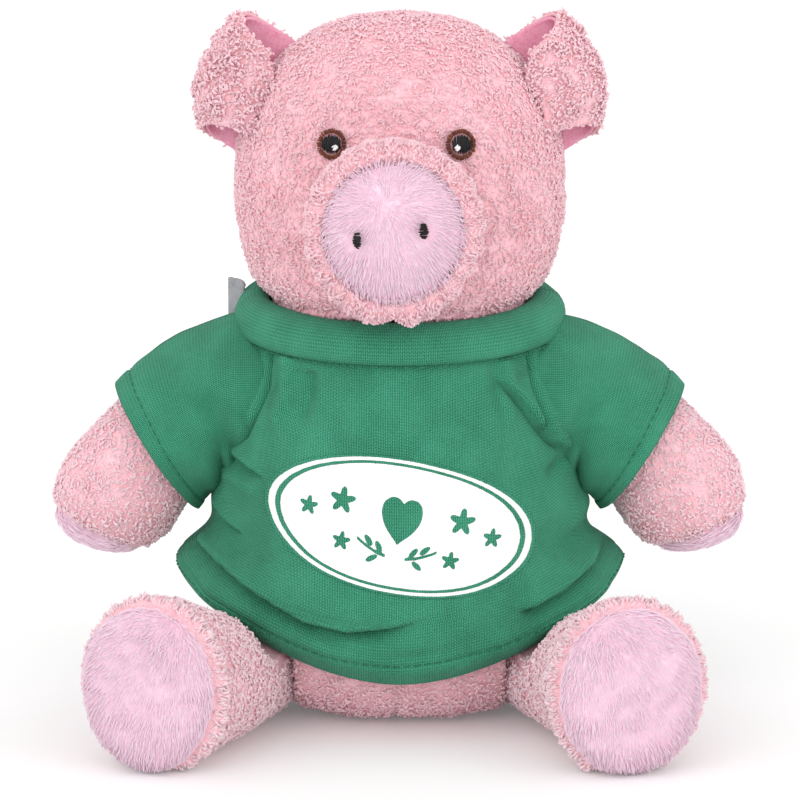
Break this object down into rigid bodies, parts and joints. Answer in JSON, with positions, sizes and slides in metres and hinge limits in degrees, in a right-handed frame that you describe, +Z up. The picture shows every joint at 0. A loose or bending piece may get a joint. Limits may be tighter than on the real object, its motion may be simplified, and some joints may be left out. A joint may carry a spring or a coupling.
{
  "type": "plush pig",
  "caption": "Seated stuffed pig with folded ears, a round muzzle and a knitted shirt; head, ears, arms and legs flex on sewn joints.",
  "frame": {"origin": "on the floor at the middle of the flat seat under the body", "axes": "+Z up, the face looks to -Y, the pig's own left is +X"},
  "size_m": [0.2012, 0.1405, 0.2058],
  "materials": {
    "pink_pile": "matte",
    "lilac_pile": "matte",
    "lilac_lining": "matte",
    "green_jersey": "matte",
    "white_print": "matte",
    "grey_tape": "matte",
    "brown_thread": "satin",
    "black_thread": "satin",
    "white_thread": "satin",
    "stuffing": "matte"
  },
  "bodies": {
    "torso": {"torso_front_skin": "pink_pile", "torso_back_skin": "pink_pile", "torso_stuffing": "stuffing", "shirt_front": "green_jersey", "shirt_back": "green_jersey", "neck_band": "green_jersey", "shirt_print": "white_print", "neck_label": "grey_tape"},
    "head": {"face_skin": "pink_pile", "head_back_skin": "pink_pile", "head_stuffing": "stuffing", "muzzle_skin": "pink_pile", "snout_disc": "lilac_pile", "muzzle_stuffing": "stuffing", "eye_iris_left": "brown_thread", "eye_pupil_left": "black_thread", "eye_glint_left": "white_thread", "nostril_left": "black_thread", "eye_iris_right": "brown_thread", "eye_pupil_right": "black_thread", "eye_glint_right": "white_thread", "nostril_right": "black_thread"},
    "ear_left": {"ear_outer_left": "pink_pile", "ear_lining_left": "lilac_lining"},
    "ear_right": {"ear_outer_right": "pink_pile", "ear_lining_right": "lilac_lining"},
    "arm_left": {"arm_skin_left": "pink_pile", "paw_pad_left": "lilac_pile", "arm_stuffing_left": "stuffing", "sleeve_left": "green_jersey"},
    "arm_right": {"arm_skin_right": "pink_pile", "paw_pad_right": "lilac_pile", "arm_stuffing_right": "stuffing", "sleeve_right": "green_jersey"},
    "leg_left": {"leg_skin_left": "pink_pile", "sole_pad_left": "lilac_pile", "leg_stuffing_left": "stuffing"},
    "leg_right": {"leg_skin_right": "pink_pile", "sole_pad_right": "lilac_pile", "leg_stuffing_right": "stuffing"}
  },
  "joints": [
    {"name": "neck_turn", "type": "hinge", "parent": "torso", "child": "head", "pos_m": [0, 0, 0.115], "axis": [0, 0, 1], "range_deg": [-25, 25], "stiffness_Nm_per_rad": 0.08},
    {"name": "ear_left_flop", "type": "hinge", "parent": "head", "child": "ear_left", "pos_m": [0.03895, 0.00477, 0.17977], "axis": [-0.5384, 0.0003, 0.8427], "range_deg": [0, 25], "stiffness_Nm_per_rad": 0.01},
    {"name": "ear_right_flop", "type": "hinge", "parent": "head", "child": "ear_right", "pos_m": [-0.03895, 0.00477, 0.17977], "axis": [-0.5384, -0.0003, -0.8427], "range_deg": [0, 25], "stiffness_Nm_per_rad": 0.01},
    {"name": "arm_left_swing", "type": "hinge", "parent": "torso", "child": "arm_left", "pos_m": [0.04602, -0.002, 0.0905], "axis": [-1, 0, 0], "range_deg": [-40, 70], "stiffness_Nm_per_rad": 0.05},
    {"name": "arm_right_swing", "type": "hinge", "parent": "torso", "child": "arm_right", "pos_m": [-0.04602, -0.002, 0.0905], "axis": [-1, 0, 0], "range_deg": [-40, 70], "stiffness_Nm_per_rad": 0.05},
    {"name": "leg_left_swing", "type": "hinge", "parent": "torso", "child": "leg_left", "pos_m": [0.03009, -0.005, 0.0167], "axis": [1, 0, 0], "range_deg": [0, 60], "stiffness_Nm_per_rad": 0.08},
    {"name": "leg_right_swing", "type": "hinge", "parent": "torso", "child": "leg_right", "pos_m": [-0.03009, -0.005, 0.0167], "axis": [1, 0, 0], "range_deg": [0, 60], "stiffness_Nm_per_rad": 0.08}
  ]
}
